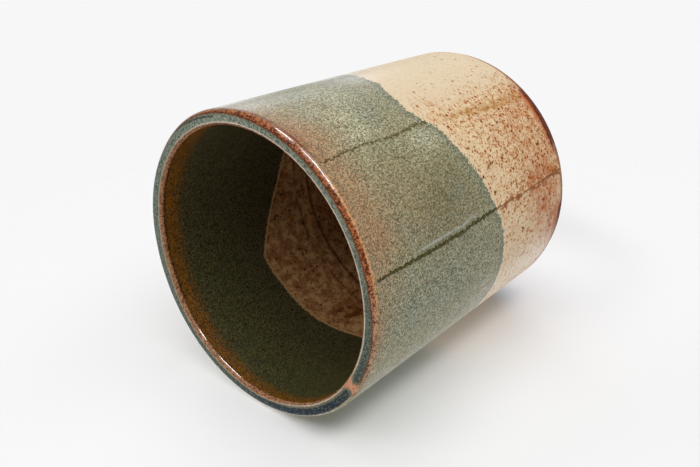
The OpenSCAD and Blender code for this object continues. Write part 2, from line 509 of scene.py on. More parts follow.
# %% Lip and floor
LIP_ROWS = 41
LIP_DROP = 0.14 * MM
LIP_LIFT = 0.08
LIP_HALF_FLAT = (LIP_FLAT_OUT - LIP_FLAT_IN) / 2
LIP_OUT_EDGE = -LIP_HALF_FLAT - LIP_OUT_R * (np.pi / 2 - LIP_JOIN)
LIP_IN_EDGE = LIP_HALF_FLAT + LIP_IN_R * (np.pi / 2 - LIP_JOIN)
POOL_ROWS = 49
POOL_TUCK = 0.25 * MM
SPIRAL_LIFT = 0.1
SPIRAL_PITCH = 5.5 * MM
SPIRAL_START = 8 * MM
CURL_LIFT = 0.25
CURL_W = 0.5 * MM


def across_lip(run):
    """Place across the bead: 0 at its outer edge, 1 at its inner edge."""
    return (run - LIP_OUT_EDGE) / (LIP_IN_EDGE - LIP_OUT_EDGE)


def lip_relief(az, run):
    """The bead on the lip: a crown across it, whose height comes and goes round the cup."""
    across = across_lip(run)
    crown = np.clip(4 * across * (1 - across), 0, 1)
    return LIP_LIFT * (1 + crown * (1 + 0.5 * waver(az, 3, 24, 51))) * MM


def floor_grid():
    """The pool: a level face with a low spiral, a curl up the cove at its edge, and a flat back.
    Rows run from the middle of the back, out to the edge and in to the middle of the front."""
    edge_r = inside(POOL_RUN)[0] + POOL_TUCK
    share = np.linspace(0.02, 1, POOL_ROWS)[:, None]
    front_r = share[::-1] * edge_r + 0 * AZ
    spiral = SPIRAL_LIFT * np.cos(2 * np.pi * front_r / SPIRAL_PITCH - np.radians(AZ))
    spiral = spiral * np.minimum(front_r / SPIRAL_START, 1)
    curl = CURL_LIFT * np.exp(-(edge_r - front_r) / CURL_W)
    back_r = share[::4] * edge_r + 0 * AZ
    r = np.concatenate([back_r, front_r])
    back_z = FLOOR_T + GLAZE_T - BACK_DEPTH
    z = np.concatenate([np.full(back_r.shape, back_z), POOL_Z + (spiral + curl) * MM])
    return place(AZ, r, z)


lip, lip_run = coat("lip_glaze", over_lip, LIP_OUT_EDGE, LIP_IN_EDGE, lip_relief, LIP_ROWS, LIP_DROP)
mark(lip, "across", across_lip(lip_run))
floor = disc_piece("floor_glaze", floor_grid())
mark(floor, "ring_gap", np.full(len(floor.data.vertices), 2 * FAINT_RING))
mark(floor, "line_gap", np.full(len(floor.data.vertices), -2 * FAINT_RING))
print(f"lip {len(lip.data.polygons)} faces, floor {len(floor.data.polygons)} faces")

# %% [markdown]
# ## The clay
# The wall hides under its coats, so it is a plain turned ring. The base shows as a thin dark line round the
# foot, and as a trimmed ring underneath: a loop tool leaves fine grooves there, which are modelled.

# %% Clay
WALL_STEP = 8 * MM
TRIM_STEP = 0.4 * MM
TRIM_DEPTH = 0.05
TRIM_PITCH = 1.7 * MM
POLE_R = 1 * MM


def arc(centre, r, start, end, steps):
    """Points on an arc about a centre, from one angle to another, as rows of radius and height."""
    turn = np.linspace(start, end, steps)
    return np.stack([centre[0] + r * np.cos(turn), centre[1] + r * np.sin(turn)], axis=-1)


def filled(points, step):
    """The same outline with more points: straight stretches are split into steps of about that length."""
    points = np.asarray(points)
    length = np.concatenate([[0], np.cumsum(np.linalg.norm(np.diff(points, axis=0), axis=1))])
    along = np.union1d(length, np.arange(0, length[-1], step))
    return np.stack([np.interp(along, length, coordinate) for coordinate in points.T], axis=-1)


lip_out_c = (LIP_FLAT_OUT, CUP_H - LIP_OUT_R)
lip_in_c = (LIP_FLAT_IN, CUP_H - LIP_IN_R)
cove_c = (wall_r(GLAZE_T + WALL_T + COVE_R, FLOOR_T + COVE_R), FLOOR_T + COVE_R)
foot_c = (wall_r(GLAZE_T + FOOT_R, FOOT_R), FOOT_R)
wall_outline = filled(np.concatenate([
    [[wall_r(GLAZE_T, FLOOR_T), FLOOR_T]],
    arc(lip_out_c, LIP_OUT_R - GLAZE_T, -LEAN, np.pi / 2, 7),
    arc(lip_in_c, LIP_IN_R - GLAZE_T, np.pi / 2, np.pi - LEAN, 7),
    arc(cove_c, COVE_R, -LEAN, -np.pi / 2, 9)]), WALL_STEP)
clay_wall = ring_piece("clay_wall", place(AZ[::4], wall_outline[:, :1], wall_outline[:, 1:]))

ring_in = foot_c[0] - FOOT_RING_W
base_outline = np.concatenate([
    filled([[POLE_R, FOOT_HOLLOW], [ring_in - FOOT_HOLLOW, FOOT_HOLLOW], [ring_in, 0]], TRIM_STEP),
    arc(foot_c, FOOT_R, -np.pi / 2, -LEAN, 15),
    [[wall_r(GLAZE_T, FLOOR_T), FLOOR_T], [POLE_R, FLOOR_T]]])


def base_grid(outline):
    """The base: its outline turned round the axis, with trimming grooves cut up into the underside."""
    r, z = outline[:, :1], outline[:, 1:]
    under = np.clip(1 - z / (FOOT_HOLLOW * 1.5), 0, 1) * (r < ring_in)
    groove = TRIM_DEPTH * (1 + np.cos(2 * np.pi * r / TRIM_PITCH - np.radians(AZ))) * under
    return place(AZ, r + 0 * AZ, z + groove * MM)


clay_base = disc_piece("clay_base", base_grid(base_outline))
print(f"clay wall {len(clay_wall.data.polygons)} faces, base {len(clay_base.data.polygons)} faces")

# %% [markdown]
# ## The crests of the seams
# On top of each raised line the glaze has run thin and left a crest of its own colour. The crest is a slim
# strip: its middle stands above the coat, and its edges dive into it, so its outline comes and goes. The
# first seam is broken into dashes and fades away in the cream, and the second runs down to the foot.

# %% Seam crests
CREST_ROWS = 420
CREST_ACROSS = np.array([-1, -0.6, -0.2, 0.2, 0.6, 1])
CREST_BACK = np.array([0.8, -0.8])
CREST_COLUMNS = len(CREST_ACROSS) + len(CREST_BACK)
CREST_LOW = 0.5 * MM
CREST_GAP = 0.4 * MM
CREST_ARCH = 0.07
CREST_RAISE = 0.06
CREST_SINK = 0.35 * MM


def crest_strip(which, half_w, height, breaks, beads, seed):
    """One strip: its middle line climbs the seam, its cross-section is an arch whose two ends dive below
    the coat, and its back lies deeper still. half_w and height give millimetres at points up the wall,
    breaks is how far the height falls from place to place, and beads how much the width comes and goes."""
    run = np.linspace(GLAZE_LOW + CREST_LOW, LIP_OUT_RUN - CREST_GAP, CREST_ROWS)[:, None]
    swell = 1 + beads * waver(up_wall(run), 40, 200, seed)
    across = np.concatenate([CREST_ACROSS, CREST_BACK])
    width = np.interp(run / MM, *np.transpose(half_w)) * swell * MM
    az = seam_az(which, run) + np.degrees(across * width / wall_r(0, run))
    fall = breaks * np.abs(waver(up_wall(run), 12, 130, seed + 1))
    tall = np.interp(run / MM, *np.transpose(height)) - fall
    lift = (CREST_RAISE - 1.5 * CREST_ARCH * across ** 2 + tall) * MM + seam_lift(az, run)
    lift = np.where(np.arange(CREST_COLUMNS) < len(CREST_ACROSS), lift, -CREST_SINK)
    r, z, faces = outside(run + 0 * az)
    return place(az, r + lift * np.cos(faces), z + lift * np.sin(faces)), run + 0 * az


strips = [
    crest_strip(0, ((0, 0.4), (47, 0.5), (57, 0.36), (66, 0.25), (82, 0.25), (88, 0.5)),
                ((0, -0.3), (46, -0.3), (48, 0.1), (70, 0.08), (84, 0.1), (88, 0.16)), 0.15, 0.8, 61),
    crest_strip(1, ((0, 0.4), (7, 0.5), (14, 0.35), (18, 0.15), (34, 0.17), (40, 0.55), (60, 0.6),
                    (88, 0.45)),
                ((0, 0.05), (12, 0.08), (34, 0.05), (38, 0.1), (88, 0.09)), 0.07, 0.4, 63)]
per_strip = CREST_ROWS * CREST_COLUMNS
strip_faces = []
for number in range(len(strips)):
    low_end = number * per_strip + np.arange(CREST_COLUMNS)
    strip_faces += (np.array(grid_faces(CREST_ROWS, CREST_COLUMNS, False)) + low_end[0]).tolist()
    strip_faces.append(low_end[::-1].tolist())
    strip_faces.append((low_end + per_strip - CREST_COLUMNS).tolist())
crests = mesh_piece("seam_ridges", np.concatenate([g.reshape(-1, 3) for g, _ in strips]), strip_faces)
mark(crests, "line_gap", np.concatenate([
    (run - np.interp(seam_az(number, CUP_H / 2), AZ, outer_line)).ravel() / MM
    for number, (_, run) in enumerate(strips)]))
mark(crests, "first", np.repeat([1, 0], per_strip))
mark(crests, "lip_gap", np.concatenate([(LIP_OUT_RUN - run).ravel() / MM for _, run in strips]))
print(f"crests: {len(crests.data.polygons)} faces")

# %% [markdown]
# ## Where the fire was stronger
# Two sides of a cup never fire alike. The flame licks one side, which burns rusty at the foot and throws
# more iron specks, and leaves the other pale. A painter would mask such places with soft brushes. Here each
# one is a soft spot with a side, a height, a width, a tallness and a strength, so it can be moved by hand.
# A few of the spots are painted light instead: one pale haze of the green is a painted sheen at the top
# edge, and its broad dark patch is painted shade.

# %% Soft spots
GLARES = ((112, 86, 15, 14, 1.0), (113, 60, 12, 30, 0.12), (110, 46, 13, 10, 0.8), (352, 14, 13, 22, 0.8))
GREEN_SPOTS = {
    "blush": ((45, 85, 24, 6, 0.9), (45, 72, 15, 13, 0.3), (36, 80, 8, 5, 0.4), (57, 82, 6, 4, 0.3),
              (76, 83, 12, 8, 0.9), (96, 84, 14, 4, 0.5), (150, 80, 18, 5, 0.6), (225, 79, 16, 4, 0.5),
              (290, 82, 14, 4, 0.6), (5, 86, 14, 3, 0.5)),
    # Pale haze in the green. The spot at azimuth 115, height 85 is a painted sheen where the top edge near
    # the lip catches the light.
    "mist": ((80, 70, 9, 7, 0.8), (60, 53, 5, 6, 1.1), (92, 62, 6, 6, 0.7), (70, 72, 4, 9, 0.7),
             (99, 66, 6, 6, 0.5), (115, 85, 10, 8, 1.0), (200, 64, 25, 10, 0.6), (280, 60, 20, 10, 0.5)),
    "cool": ((78, 62, 5, 5, 0.7), (8, 62, 14, 22, 0.7), (102, 70, 9, 12, 0.4), (92, 56, 8, 5, 0.5),
             (84, 84, 4, 4, 0.4), (180, 62, 25, 12, 0.5), (320, 66, 20, 14, 0.6)),
    "scorch": ((77, 86.4, 11, 2.2, 0.9), (96, 86.8, 12, 1.2, 0.7), (55, 87, 10, 1, 0.6),
               (10, 87.1, 25, 0.7, 0.5)),
    "glare": GLARES,
    # The broad dark spot at 38, 56 is painted shade on a side that gets less light; the small one at 57.8,
    # 64.4 is a dark nick.
    "shade": ((38, 56, 15, 13, 0.4), (57.8, 64.4, 0.8, 0.4, 1.2))}
CREAM_SPOTS = {
    "rose": ((28, 13, 8, 8, 1), (3, 7, 10, 5, 1), (17, 13, 11, 5, 1), (6, 22, 16, 18, 0.13),
             (48, 15, 12, 11, 0.4), (62, 7, 8, 5, 0.5), (240, 14, 20, 8, 0.6)),
    "dashes": ((71, 43, 9, 5, 1), (58, 40, 8, 4, 0.5), (66, 26, 9, 14, 0.6), (230, 40, 20, 8, 0.8)),
    "glare": GLARES}
INNER_SPOTS = {
    "stain": ((196, 46, 13, 6, 0.9), (267, 46, 8, 8, 1), (269, 43, 6, 4, 1), (225, 27, 50, 6, 0.7))}


def soft_spots(run, spots):
    """For each spot a bell curve over azimuth and height, times its strength. They add up to 1 at most."""
    bells = [strength * np.exp(-(turn_from(AZ, az) / wide) ** 2 - ((run / MM - z) / tall) ** 2)
             for az, z, wide, tall, strength in spots]
    return np.clip(sum(bells), 0, 1)


for piece, run, marks in ((outer_green, green_run, GREEN_SPOTS), (outer_cream, cream_run, CREAM_SPOTS),
                          (inner_cream, tan_run, INNER_SPOTS)):
    for name, spots in marks.items():
        mark(piece, name, soft_spots(run, spots))
    print(piece.name, "has soft spots:", ", ".join(marks))

# %% [markdown]
# ## What changes round the cup
# Other effects follow the whole rim or foot and only grow and fade along it: the rust on the lip, the blue
# of its bead, the glow above the foot. A short list of sides and amounts says how strong each one is, and it
# is drawn straight between them. It is read at each column, so a column has one amount from foot to lip.

# %% Amounts round the cup
RUST_SIDES = ((0, 0.6), (12, 0.75), (28, 1), (85, 1), (105, 0.75), (125, 0.6), (150, 0.55), (162, 0.15),
              (170, 0.05), (335, 0.05), (344, 0.55), (360, 0.6))
PINK_SIDES = ((0, 0.8), (12, 0.6), (28, 0), (330, 0), (340, 0.8), (360, 0.8))
CLAY_SIDES = ((0, 0.75), (9, 0.7), (15, 0.3), (32, 0.25), (44, 0.8), (59, 0.8), (67, 0.4), (85, 0.1),
              (140, 0.1), (170, 0.6), (300, 0.8), (360, 0.75))
GREEN_SIDES = {
    "rust_side": RUST_SIDES,
    "orange_side": ((0, 1), (58, 1), (75, 0.3), (90, 0), (330, 0), (345, 0.8), (360, 1)),
    "wet_side": ((0, 0), (52, 0), (57, 1), (71, 1), (74, 0), (76, 0), (78, 1), (85, 1), (89, 0), (360, 0)),
    "pink_side": PINK_SIDES}
CREAM_SIDES = {
    "speck_side": ((0, 0.3), (15, 0.6), (28, 1), (40, 1), (60, 1), (66, 0.85), (72, 0.35), (79, 0.09),
                   (95, 0.03), (130, 0.1), (200, 0.8), (300, 0.8), (340, 0.4), (360, 0.4)),
    "glow_side": ((0, 0.9), (9, 0.75), (13, 0.1), (31, 0.15), (38, 0.7), (44, 1), (62, 1), (66, 0.3),
                  (72, 0.05), (80, 0.05), (150, 0.3), (240, 0.8), (300, 0.6), (345, 0.7), (360, 0.9))}
DARK_SIDES = {
    # Painted shade inside, strongest where the wall faces down, away from the light.
    "inner_shade_side": ((0, 0.3), (110, 0.9), (190, 0.8), (235, 0.3), (290, 0.1), (360, 0.3)),
    "amber_reach": ((0, 3), (120, 6), (165, 7), (190, 6.4), (213, 6), (242, 5.2), (277, 3.6),
                    (302, 3), (360, 3)),
    "maroon_reach": ((0, 0), (110, 0), (150, 0.8), (215, 0.8), (235, 0.35), (300, 0.25), (335, 0), (360, 0)),
    "wet_side": ((0, 0), (234, 0), (237, 1), (243, 1), (246, 0), (253, 0), (256, 1), (269, 1),
                 (274, 0), (360, 0))}
LIP_SIDES = {
    "rust_side": RUST_SIDES,
    "blue_side": ((0, 0.34), (14, 0.3), (30, 0.22), (48, 0.1), (255, 0.1), (285, 0.55), (302, 0.95),
                  (322, 0.95), (335, 0.6), (348, 0.4), (360, 0.34)),
    # Darkest on the side of the lip that faces the table, away from the light above: painted shade.
    "lip_shade_side": ((0, 0.65), (20, 0.5), (45, 0.2), (85, 0.2), (110, 0), (150, 0.35), (180, 0.45), (235, 0.7),
                  (285, 0.8), (335, 0.8), (360, 0.65)),
    "inner_side": ((0, 0), (105, 0), (135, 0.7), (160, 1), (285, 1), (310, 0.4), (335, 0.15), (360, 0)),
    "inner_start": ((0, 0.79), (110, 0.79), (150, 0.82), (185, 0.86), (215, 0.86), (235, 0.74), (280, 0.74),
                    (300, 0.85), (335, 0.88), (360, 0.79)),
    "crease": ((0, -1), (114, -1), (115, 0.42), (150, 0.08), (151, -1), (360, -1)),
    "pink_side": PINK_SIDES}
LIP_BREAK = 340


def round_cup(amounts):
    """An amount for each column, straight between the given azimuths."""
    return np.interp(AZ, *np.transpose(amounts))


for piece, run, marks in ((outer_green, green_run, GREEN_SIDES), (outer_cream, cream_run, CREAM_SIDES),
                          (inner_green, dark_run, DARK_SIDES), (lip, lip_run, LIP_SIDES)):
    for name, amounts in marks.items():
        mark(piece, name, round_cup(amounts) + 0 * run)
    print(piece.name, "changes round the cup:", ", ".join(marks))
mark(clay_base, "clay_side", np.append(np.tile(round_cup(CLAY_SIDES), len(base_outline)), [1, 1]))
mark(lip, "break_gap", turn_from(AZ, LIP_BREAK) + 0 * lip_run)

# %% [markdown]
# ## Writing materials in few words
# A glaze is a stack of colours, each let through by a mask. In Blender its nodes could be added and linked
# one by one, but then the recipe drowns in wiring. A small class holds one tree of nodes and the place that
# its patterns read. Each of its functions adds the nodes of one idea, so a recipe reads as a list of layers.

# %% Node helpers
class Net:
    """The nodes of one material, group or world, and the place that its patterns read."""

    def __init__(self, tree, place=None):
        self.tree = tree
        self.place = place

    def find(self, kind):
        """The first node of a kind that the tree already has."""
        return next(node for node in self.tree.nodes if node.type == kind)

    def link(self, output, socket):
        """Joins one node's output to another node's socket."""
        self.tree.links.new(output, socket)

    def fill(self, made, sockets):
        """Sets a node's sockets: a plain value, or a link if the value is another node's output."""
        for socket, value in sockets.items():
            if isinstance(value, bpy.types.NodeSocket):
                self.link(value, made.inputs[socket])
            else:
                made.inputs[socket].default_value = value
        return made

    def add(self, kind, sockets=None, **settings):
        """Adds a shader node with its settings and sockets."""
        made = self.tree.nodes.new("ShaderNode" + kind)
        for name, value in settings.items():
            setattr(made, name, value)
        return self.fill(made, sockets or {})

    def use(self, group, **values):
        """Puts in a node group that reads this net's place, with its own values, and gives its outputs."""
        return self.fill(self.add("Group", node_tree=group), {"Place": self.place, **values}).outputs


print("a net can", ", ".join(name for name in vars(Net) if not name.startswith("_")))

# %% [markdown]
# ## Masks
# A mask is a number from 0 to 1 that says how much of an ink shows. It could be painted, but a painted mask
# turns blurred when the camera comes near. A formula stays sharp: soft steps, stripes and noise, with
# products and sums of them. These are the words that the recipes below are written in.

# %% Mask helpers
class Masks(Net):
    """A net that can also work out masks and colours."""

    def maths(self, operation, first, second=0.5):
        """One operation on two values, such as a sum or the greater of both."""
        return self.add("Math", {0: first, 1: second}, operation=operation).outputs[0]

    def vectors(self, operation, first, second):
        """One operation on two vectors, which gives a number if it is a distance or a dot product."""
        made = self.add("VectorMath", {0: first, 1: second}, operation=operation)
        return made.outputs["Value" if operation in ("DISTANCE", "DOT_PRODUCT") else "Vector"]

    def scaled(self, vector, scale):
        """A vector made longer or shorter."""
        return self.add("VectorMath", {0: vector, "Scale": scale}, operation="SCALE").outputs["Vector"]

    def times(self, *values):
        """The product of several values."""
        product = values[0]
        for value in values[1:]:
            product = self.maths("MULTIPLY", product, value)
        return product

    def ramp(self, value, start, end, low=0.0, high=1.0):
        """A soft step from low to high as the value goes from start to end, which may run downwards."""
        sockets = {"Value": value, "From Min": start, "From Max": end, "To Min": low, "To Max": high}
        return self.add("MapRange", sockets, interpolation_type="SMOOTHSTEP").outputs[0]

    def spread(self, value, low, high=1.0):
        """A soft step over the whole of a mask: low where it is 0, and high where it is 1."""
        return self.ramp(value, 0.0, 1.0, low, high)

    def away(self, value, middle):
        """How far a value is from a middle, either way."""
        return self.maths("ABSOLUTE", self.maths("SUBTRACT", value, middle))

    def stripe(self, value, middle, half_w):
        """1 in the middle of a stripe of values, falling softly to 0 at its edges."""
        return self.ramp(self.away(value, middle), half_w, half_w * 0.3)

    def blend(self, factor, first, second):
        """The first colour where the factor is 0, the second where it is 1."""
        first, second = [c if isinstance(c, bpy.types.NodeSocket) else (*c, 1) for c in (first, second)]
        return self.add("Mix", {"Factor": factor, 6: first, 7: second}, data_type="RGBA").outputs[2]

    def blend_values(self, factor, first, second):
        """The first value where the factor is 0, the second where it is 1."""
        return self.add("Mix", {"Factor": factor, 2: first, 3: second}).outputs[0]

    def noise(self, size_mm, detail=3.0, rough=0.6, place=None):
        """Fractal noise with features of about that size, from 0 to 1."""
        place = self.place if place is None else place
        sockets = {"Vector": place, "Scale": 1 / (size_mm * MM), "Detail": detail, "Roughness": rough}
        return self.add("TexNoise", sockets).outputs[0]

    def jitter(self, value, size_mm, reach):
        """The value moved up and down by noise of that size, by about reach either way."""
        shake = self.times(self.maths("SUBTRACT", self.noise(size_mm), 0.5), 4 * reach)
        return self.maths("ADD", value, shake)

    def marked(self, name):
        """A number that was written on the mesh's points."""
        return self.add("Attribute", attribute_name=name).outputs["Fac"]


def group_net(name, values, results):
    """An empty node group that takes a Place and some values: its net, its inputs and its outputs."""
    tree = bpy.data.node_groups.new(name, "ShaderNodeTree")
    tree.interface.new_socket("Place", in_out="INPUT", socket_type="NodeSocketVector")
    for way, labels in (("INPUT", values), ("OUTPUT", results)):
        for label in labels:
            tree.interface.new_socket(label, in_out=way, socket_type="NodeSocketFloat")
    given = tree.nodes.new("NodeGroupInput").outputs
    return Masks(tree, given["Place"]), given, tree.nodes.new("NodeGroupOutput").inputs


print("masks can", ", ".join(name for name in vars(Masks) if not name.startswith("_")))

# %% [markdown]
# ## Iron specks
# Grains of iron in the clay melt up through the glaze and leave round rusty specks of all sizes. Cells of
# a Voronoi pattern give each speck a place. Random numbers for each cell decide whether it has a speck, how
# large it is and how dark, and a little noise keeps the outlines from being perfect circles.

# %% Specks group
SPECK_RAGGED = 0.14
SPECK_SMALLEST = 0.55
SPECK_FAINTEST = 0.5
SPECK_SOFT = 0.1


def specks_group():
    """Mask of specks, up to 1 inside a dark one. Cell is the spacing in millimetres, Share the part of the
    cells with a speck, and Size the radius of the largest speck as a part of its cell."""
    net, given, result = group_net("iron_specks", ("Cell", "Share", "Size"), ("Mask",))
    spot = net.scaled(net.place, net.maths("DIVIDE", 1 / MM, given["Cell"]))
    ragged = net.add("TexNoise", {"Vector": spot, "Scale": 2.5, "Detail": 2.0}).outputs["Color"]
    spot = net.vectors("ADD", spot, net.scaled(ragged, SPECK_RAGGED))
    cells = net.add("TexVoronoi", {"Vector": spot, "Scale": 1.0})
    chance = net.add("SeparateColor", {0: cells.outputs["Color"]}).outputs
    radius = net.times(net.spread(chance[1], SPECK_SMALLEST), given["Size"])
    dot = net.ramp(net.maths("SUBTRACT", radius, cells.outputs["Distance"]), 0.0, SPECK_SOFT)
    used = net.maths("LESS_THAN", chance[0], given["Share"])
    net.link(net.times(dot, used, net.spread(chance[2], SPECK_FAINTEST)), result["Mask"])
    return net.tree


SPECKS = specks_group()
print("group:", SPECKS.name)

# %% [markdown]
# ## Mottle and skin
# A satin glaze is never one colour: crystals grow in it in soft patches and short streaks. Its surface has
# a faint orange peel and pinholes. Both are shared by every glaze, so each is a group.

# %% Mottle and skin groups
CRYSTAL = 0.25
STREAK_STRETCH = (1, 1, 0.3)


def mottle_group():
    """Patch is a soft cloud, Blotch a small one, Grain a fine crystal grain, and Streak is drawn out along
    the height. Each is noise of its own size, spread by a ramp until it fills 0 to 1."""
    net, _, result = group_net("glaze_mottle", (), ("Patch", "Blotch", "Grain", "Streak"))
    long = net.add("Mapping", {"Vector": net.place, "Scale": STREAK_STRETCH}).outputs[0]
    crystals = net.add("TexVoronoi", {"Vector": net.place, "Scale": 1 / (CRYSTAL * MM)}).outputs["Color"]
    crystals = net.add("SeparateColor", {0: crystals}).outputs[0]
    grain = net.blend_values(0.38, crystals, net.ramp(net.noise(0.5, 2.0), 0.3, 0.7))
    net.link(net.ramp(net.noise(7, 4.0), 0.32, 0.68), result["Patch"])
    net.link(net.ramp(net.noise(0.9, 2.0), 0.36, 0.64), result["Blotch"])
    net.link(net.ramp(grain, 0.1, 0.9), result["Grain"])
    net.link(net.ramp(net.noise(0.5, 2.0, place=long), 0.36, 0.64), result["Streak"])
    return net.tree


def skin_group():
    """Height of the glaze's own surface: orange peel, less pinholes. Gloss varies softly over it."""
    net, _, result = group_net("glaze_skin", (), ("Height", "Gloss"))
    peel = net.maths("ADD", net.noise(1.1, 2.0, 0.5), net.times(net.noise(0.4, 1.0, 0.5), 0.4))
    pits = net.use(SPECKS, Cell=1.6, Share=0.18, Size=0.35)["Mask"]
    net.link(net.maths("SUBTRACT", peel, net.times(pits, 0.8)), result["Height"])
    net.link(net.noise(4), result["Gloss"])
    return net.tree


MOTTLE = mottle_group()
SKIN = skin_group()
print("groups:", MOTTLE.name, SKIN.name)

# %% [markdown]
# ## From a colour to a glaze
# Every glaze is built up the same way: inks are laid over each other, the last colour goes to a Principled
# shader, the gloss varies softly, and the skin's height bends the light. Only the inks and the amounts
# differ, so one class does the rest. A glare is a clear coat that shows only where the wall is seen along
# its face. In the recipes, sizes and gaps are millimetres, and the other numbers are amounts from 0 to 1.

# %% Glaze finish
WET_ROUGH = 0.1
WET_BUMP = 0.3
GRAZING = (0.5, 0.75)
BUMP_DEPTH = 0.1 * MM


class Glaze(Masks):
    """One material: a stack of inks over a Principled shader, and the mottle that their masks read."""

    def __init__(self, name):
        self.material = bpy.data.materials.new(name)
        self.material.use_nodes = True
        super().__init__(self.material.node_tree)
        self.place = self.add("TexCoord").outputs["Object"]
        mottle = self.use(MOTTLE)
        self.patch, self.blotch, self.grain, self.streak = mottle
        self.colour = None

    def lay(self, ink, *masks):
        """Lays an ink over the colour so far, as far as the product of the masks lets it through."""
        self.colour = self.blend(self.times(*masks), self.colour, ink)

    def speckle(self, ink, cell, share, size, strength=0.8):
        """Lays specks of an ink over the colour so far."""
        self.lay(ink, self.use(SPECKS, Cell=cell, Share=share, Size=size)["Mask"], strength)

    def finish(self, rough, bump, mirror, wet=None, glare=None):
        """Links colour, roughness and bump to the shader. rough is the least and the greatest roughness, and
        mirror how strongly the face mirrors. wet is where the glaze is as smooth as glass, and glare where
        it shines when seen along its face."""
        shader = self.find("BSDF_PRINCIPLED").inputs
        skin = self.use(SKIN)
        height, roughness = skin["Height"], self.ramp(skin["Gloss"], 0.3, 0.7, *rough)
        if glare is not None:
            facing = self.add("LayerWeight", {"Blend": 0.5}).outputs["Facing"]
            glare = self.times(glare, self.ramp(facing, *GRAZING))
        if wet is not None:
            height = self.blend_values(wet, height, self.times(height, WET_BUMP))
            roughness = self.blend_values(wet, roughness, WET_ROUGH)
            glare = wet if glare is None else self.maths("MAXIMUM", wet, glare)
        if glare is not None:
            self.link(glare, shader["Coat Weight"])
        bumps = self.add("Bump", {"Height": height, "Strength": bump, "Distance": BUMP_DEPTH})
        self.link(self.colour, shader["Base Color"])
        self.link(roughness, shader["Roughness"])
        self.link(bumps.outputs[0], shader["Normal"])
        shader["Specular IOR Level"].default_value = mirror
        print("material:", self.material.name, "with", len(self.tree.nodes), "nodes")
        return self.material


# %% [markdown]
# ## Green glaze outside
# Grey-green, with a dense grain of pale crystals. It blushes tan towards the lip, where it is thin, and
# turns dark teal along its lower edge, where it is thick. The inks are plain colours, and the grain mixes a
# deep one with a pale one, because a single green would look like paint.

# %% Green body
GREEN_DEEP = (0.074, 0.066, 0.026)
GREEN_PALE = (0.375, 0.345, 0.20)
GREEN_MIST_AND_SHEEN = (0.56, 0.545, 0.37)
TEAL_DEEP = (0.044, 0.056, 0.034)
TEAL_PALE = (0.32, 0.335, 0.245)
TEAL_EDGE = (0.10, 0.115, 0.07)
TAN_DARK = (0.14, 0.075, 0.036)
TAN_PALE = (0.46, 0.285, 0.15)
TAN_LIGHT = (0.44, 0.31, 0.205)
SPECK_BROWN = (0.16, 0.06, 0.03)
FLECK_BROWN = (0.30, 0.15, 0.065)
SCORCH = (0.40, 0.15, 0.055)
RUST_DARK = (0.07, 0.016, 0.006)
RUST_PALE = (0.41, 0.14, 0.048)
ORANGE_LINE = (0.60, 0.33, 0.15)
ASH_LINE = (0.085, 0.068, 0.02)
RIDGE_PALE_HIGHLIGHT = (0.36, 0.37, 0.31)
RIDGE_SHADOW = (0.15, 0.155, 0.115)
CREAM_HALO = (0.66, 0.51, 0.33)


def green_body(glaze):
    """The green itself: grain, teal where it is cool or thick, pale haze with a painted sheen at the top
    edge, brown flecks, a patch of painted shade and tan blushes.
    """
    grain, streak = glaze.grain, glaze.streak
    teal = glaze.blend(grain, TEAL_DEEP, TEAL_PALE)
    thick = glaze.ramp(glaze.jitter(glaze.marked("line_gap"), 1.6, 1.0), 4, 0.5, 0.0, 0.7)
    cool = glaze.maths("ADD", glaze.marked("cool"), glaze.ramp(glaze.patch, 0.4, 0.0, 0.0, 0.35))
    glaze.colour = glaze.blend(grain, GREEN_DEEP, GREEN_PALE)
    glaze.lay(teal, glaze.maths("MAXIMUM", cool, thick))
    fleck = glaze.times(glaze.ramp(streak, 0.0, 0.8, 0.3), glaze.ramp(grain, 0.1, 0.8))
    # Pale haze laid as flecks, with a painted sheen at the top edge.
    glaze.lay(GREEN_MIST_AND_SHEEN, glaze.marked("mist"), fleck, 0.95)
    glaze.lay(teal, glaze.ramp(glaze.blotch, 0.5, 0.0, 0.0, 0.4))
    glaze.lay(GREEN_MIST_AND_SHEEN, glaze.ramp(streak, 0.5, 1.0, 0.0, 0.4), grain)
    glaze.speckle(SPECK_BROWN, 0.7, glaze.ramp(glaze.patch, 0.2, 0.9, 0.15, 0.45), 0.5, 0.7)
    glaze.speckle(FLECK_BROWN, 2.6, glaze.ramp(glaze.patch, 0.3, 0.8, 0.0, 0.5), 0.28, 0.6)
    # Dark olive over a patch of painted shade and one dark nick.
    glaze.lay(GREEN_DEEP, glaze.marked("shade"))
    glaze.lay(glaze.blend(grain, TAN_DARK, TAN_PALE), glaze.marked("blush"), glaze.spread(streak, 0.55))


print("green body:", green_body.__doc__)

# %% [markdown]
# ## Green at the seams, the lip and the line
# Wherever the wall turns an edge the green runs thin, and the iron below it shows through: ash along the
# seams, rust over the outer edge of the lip. Beside the second seam the raised ridge gets a painted shadow
# and a pale line that is partly a painted highlight. At its lower edge the green ends in small teeth, dark
# first and then pale. Each is a step of its own, in the order that the colours lie over each other.

# %% Green outside
def green_seams(glaze):
    """Ash along the first seam. Beside the middle of the second, a painted shadow and a pale line that is
    partly pale glaze and partly a painted highlight on the raised ridge.
    """
    grain, lip_gap = glaze.grain, glaze.marked("lip_gap")
    ashen = glaze.stripe(glaze.marked("seam_1"), 0.0, 0.7)
    glaze.lay(ASH_LINE, ashen, glaze.ramp(grain, 1.0, 0.2, 0.1, 0.6))
    seam_2 = glaze.jitter(glaze.marked("seam_2"), 0.7, 0.1)
    ridge = glaze.times(glaze.ramp(lip_gap, 14, 22), glaze.ramp(lip_gap, 45, 37), glaze.spread(grain, 0.5))
    # Painted shadow and painted highlight beside the raised second seam; the pale line is partly pale glaze.
    glaze.lay(RIDGE_SHADOW, glaze.stripe(seam_2, 1.2, 0.9), ridge, 0.5)
    glaze.lay(RIDGE_PALE_HIGHLIGHT, glaze.stripe(seam_2, 1.5, 0.5), ridge, 0.9)


